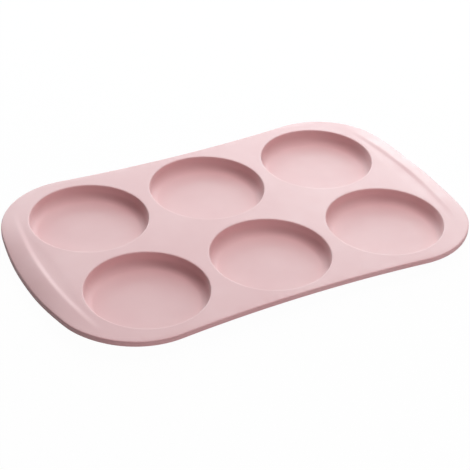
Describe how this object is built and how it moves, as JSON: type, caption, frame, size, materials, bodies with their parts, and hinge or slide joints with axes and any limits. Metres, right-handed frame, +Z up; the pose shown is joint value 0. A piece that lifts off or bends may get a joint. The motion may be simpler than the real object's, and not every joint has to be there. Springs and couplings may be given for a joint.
{
  "type": "silicone soap mould",
  "caption": "Flat silicone mould with rows of round shallow cups, a thick rim, a drawn-in waist and sloping end grips. It folds along its webs, and each cup pushes inside out from below.",
  "frame": {"origin": "under the middle of the tray, on the plane that the cups stand on", "axes": "+X along the tray to the right-hand grip, +Y to the back long edge, +Z up out of the cups"},
  "size_m": [0.3074, 0.1904, 0.0119],
  "materials": {
    "silicone": "soft satin moulded silicone, pale rose"
  },
  "bodies": {
    "middle_section": {"deck_middle": "silicone", "rim_front": "silicone", "rim_back": "silicone", "fold_web_left": "silicone", "fold_web_right": "silicone", "cup_wall_front_middle": "silicone", "cup_wall_back_middle": "silicone"},
    "left_section": {"deck_left": "silicone", "grip_left": "silicone", "rim_left": "silicone", "cup_wall_front_left": "silicone", "cup_wall_back_left": "silicone"},
    "right_section": {"deck_right": "silicone", "grip_right": "silicone", "rim_right": "silicone", "cup_wall_front_right": "silicone", "cup_wall_back_right": "silicone"},
    "cup_floor_front_left": {"cup_floor_front_left": "silicone"},
    "cup_floor_front_middle": {"cup_floor_front_middle": "silicone"},
    "cup_floor_front_right": {"cup_floor_front_right": "silicone"},
    "cup_floor_back_left": {"cup_floor_back_left": "silicone"},
    "cup_floor_back_middle": {"cup_floor_back_middle": "silicone"},
    "cup_floor_back_right": {"cup_floor_back_right": "silicone"}
  },
  "joints": [
    {"name": "left_fold", "type": "hinge", "parent": "middle_section", "child": "left_section", "pos_m": [-0.04465, 0, 0.0096], "axis": [0, 1, 0], "range_deg": [-45, 45], "stiffness_Nm_per_rad": 0.15, "deforming": ["fold_web_left"]},
    {"name": "right_fold", "type": "hinge", "parent": "middle_section", "child": "right_section", "pos_m": [0.04465, 0, 0.0096], "axis": [0, -1, 0], "range_deg": [-45, 45], "stiffness_Nm_per_rad": 0.15, "deforming": ["fold_web_right"]},
    {"name": "push_up_front_left", "type": "slide", "parent": "left_section", "child": "cup_floor_front_left", "axis": [0, 0, 1], "range_m": [0, 0.02], "stiffness_N_per_m": 500},
    {"name": "push_up_front_middle", "type": "slide", "parent": "middle_section", "child": "cup_floor_front_middle", "axis": [0, 0, 1], "range_m": [0, 0.02], "stiffness_N_per_m": 500},
    {"name": "push_up_front_right", "type": "slide", "parent": "right_section", "child": "cup_floor_front_right", "axis": [0, 0, 1], "range_m": [0, 0.02], "stiffness_N_per_m": 500},
    {"name": "push_up_back_left", "type": "slide", "parent": "left_section", "child": "cup_floor_back_left", "axis": [0, 0, 1], "range_m": [0, 0.02], "stiffness_N_per_m": 500},
    {"name": "push_up_back_middle", "type": "slide", "parent": "middle_section", "child": "cup_floor_back_middle", "axis": [0, 0, 1], "range_m": [0, 0.02], "stiffness_N_per_m": 500},
    {"name": "push_up_back_right", "type": "slide", "parent": "right_section", "child": "cup_floor_back_right", "axis": [0, 0, 1], "range_m": [0, 0.02], "stiffness_N_per_m": 500}
  ]
}
